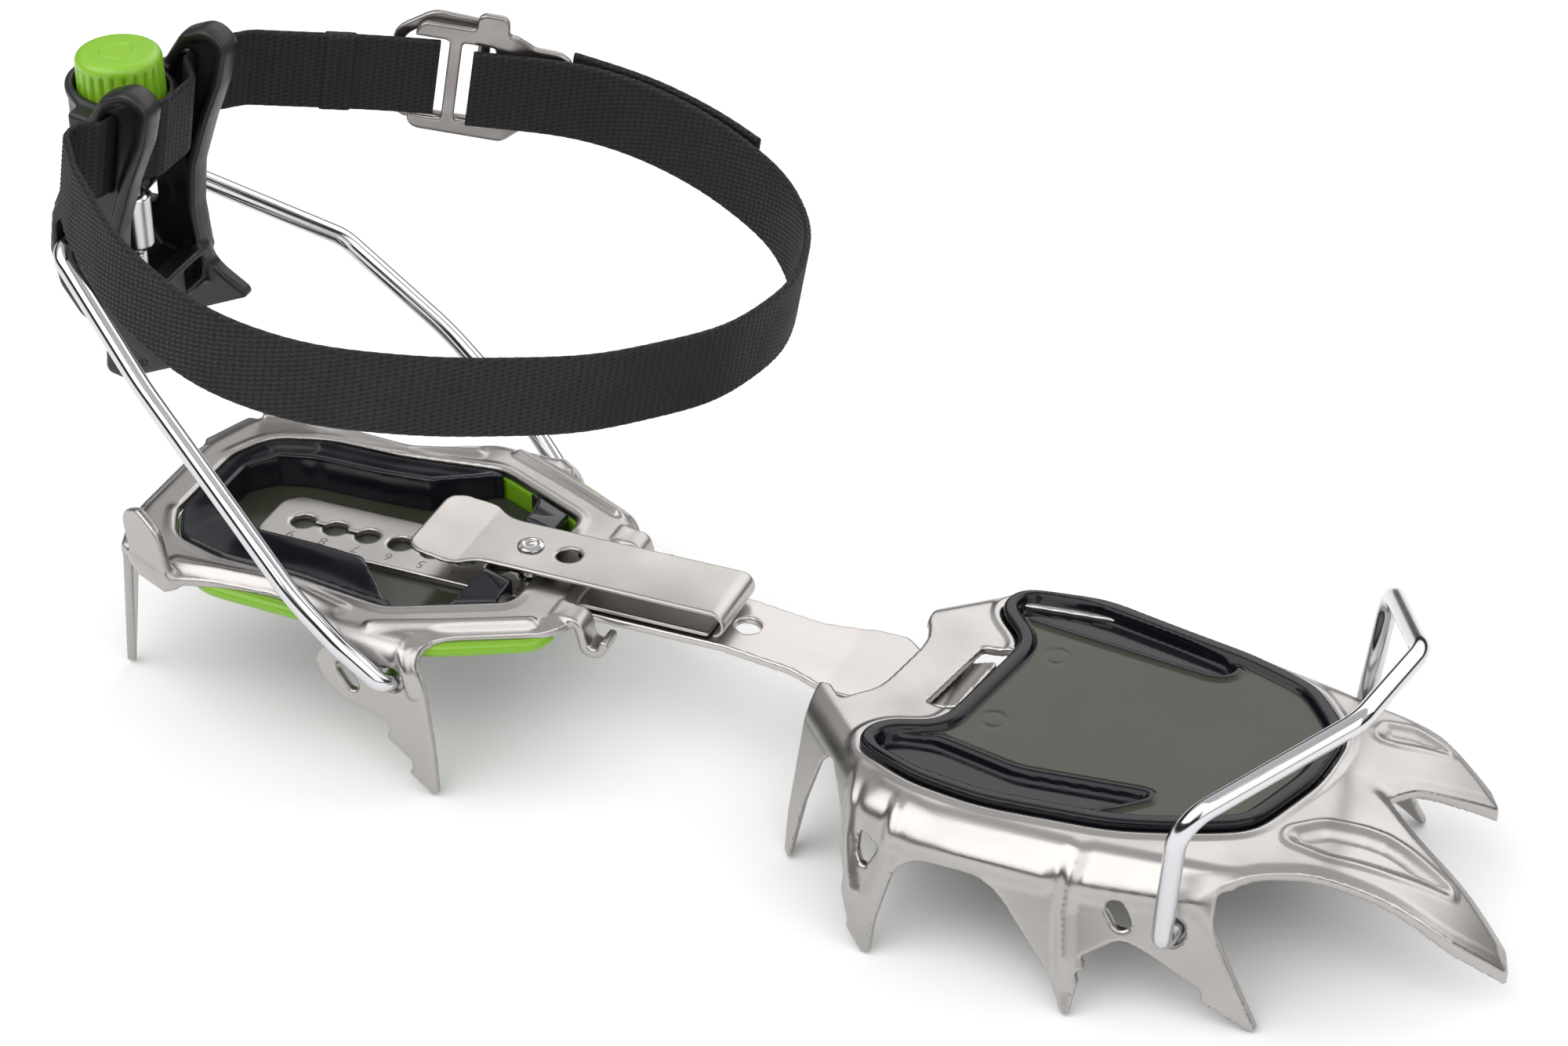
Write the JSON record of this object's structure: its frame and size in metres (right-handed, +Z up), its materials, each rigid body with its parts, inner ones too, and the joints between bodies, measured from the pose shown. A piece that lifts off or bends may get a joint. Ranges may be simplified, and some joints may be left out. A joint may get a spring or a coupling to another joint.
{
  "type": "crampon",
  "caption": "Strap-on boot crampon: stamped steel toe and heel plates with points, a sliding centre bar, wire bails, a heel lever with a height knob, and an ankle strap.",
  "frame": {"origin": "on the ground, under the middle of the bounding box", "axes": "+X forward along the centre bar to the front points, +Y to the left, +Z up"},
  "size_m": [0.3492, 0.1464, 0.1552],
  "materials": {
    "plate_steel": "stamped stainless steel, tumbled, soft highlights",
    "spring_steel": "satin stainless spring strip",
    "bail_chrome": "bright polished wire",
    "guard_lime": "smooth moulded plastic",
    "guard_smoke": "glossy smoked flexible plastic",
    "lever_black": "satin moulded nylon",
    "knob_lime": "satin moulded plastic",
    "webbing_black": "coarse woven webbing",
    "buckle_steel": "satin stainless",
    "hardware_steel": "turned steel"
  },
  "bodies": {
    "toe_section": {"toe_plate": "plate_steel", "toe_guard_base": "guard_lime", "toe_guard_cover": "guard_smoke"},
    "toe_bail": {"toe_bail": "bail_chrome"},
    "bar": {"centre_bar": "spring_steel"},
    "heel_section": {"heel_plate": "plate_steel", "heel_guard_base": "guard_lime", "heel_guard_insert": "guard_smoke", "lock_spring_base": "spring_steel", "spring_rivets": "hardware_steel"},
    "lock": {"lock_spring_arm": "spring_steel", "lock_pin": "hardware_steel"},
    "heel_bail": {"heel_bail": "bail_chrome"},
    "carriage": {"bail_nut": "hardware_steel"},
    "lever": {"heel_lever": "lever_black", "ankle_strap": "webbing_black", "strap_tail": "webbing_black", "buckle_frame": "buckle_steel"},
    "knob": {"adjust_knob": "knob_lime", "adjust_screw": "hardware_steel", "screw_clip": "hardware_steel"}
  },
  "joints": [
    {"name": "toe_bail_swing", "type": "hinge", "parent": "toe_section", "child": "toe_bail", "pos_m": [0.10656, -0.05357, 0.021], "axis": [0.2027, 0.9788, 0.0297], "range_deg": [-65, 42]},
    {"name": "bar_rock", "type": "hinge", "parent": "toe_section", "child": "bar", "pos_m": [0.04256, 0.00243, 0.0315], "axis": [0.1994, 0.9799, 0], "range_deg": [-6, 1]},
    {"name": "heel_slide", "type": "slide", "parent": "bar", "child": "heel_section", "axis": [1, 0, 0], "range_m": [-0.06055, 0.00865]},
    {"name": "lock_lift", "type": "hinge", "parent": "heel_section", "child": "lock", "pos_m": [-0.01644, 0.00343, 0.03935], "axis": [0, 1, 0], "range_deg": [-2.1, 8], "stiffness_Nm_per_rad": 2},
    {"name": "heel_bail_swing", "type": "hinge", "parent": "heel_section", "child": "heel_bail", "pos_m": [-0.08013, 0.00343, 0.0305], "axis": [0, 1, 0], "range_deg": [-35, 15]},
    {"name": "lever_pivot", "type": "hinge", "parent": "heel_bail", "child": "carriage", "pos_m": [-0.16841, 0.00043, 0.11282], "axis": [0, 1, 0], "range_deg": [-75, 8]},
    {"name": "lever_adjust", "type": "slide", "parent": "carriage", "child": "lever", "axis": [0, 0, 1], "range_m": [-0.0035, 0.0035]},
    {"name": "knob_spin", "type": "hinge", "parent": "lever", "child": "knob", "pos_m": [-0.16241, 0.00043, 0.11282], "axis": [0, 0, 1], "range_deg": [-1801, 1801]}
  ],
  "couplings": [
    {"joint": "knob_spin", "follows": "lever_adjust", "rad_per_m": 8976}
  ]
}
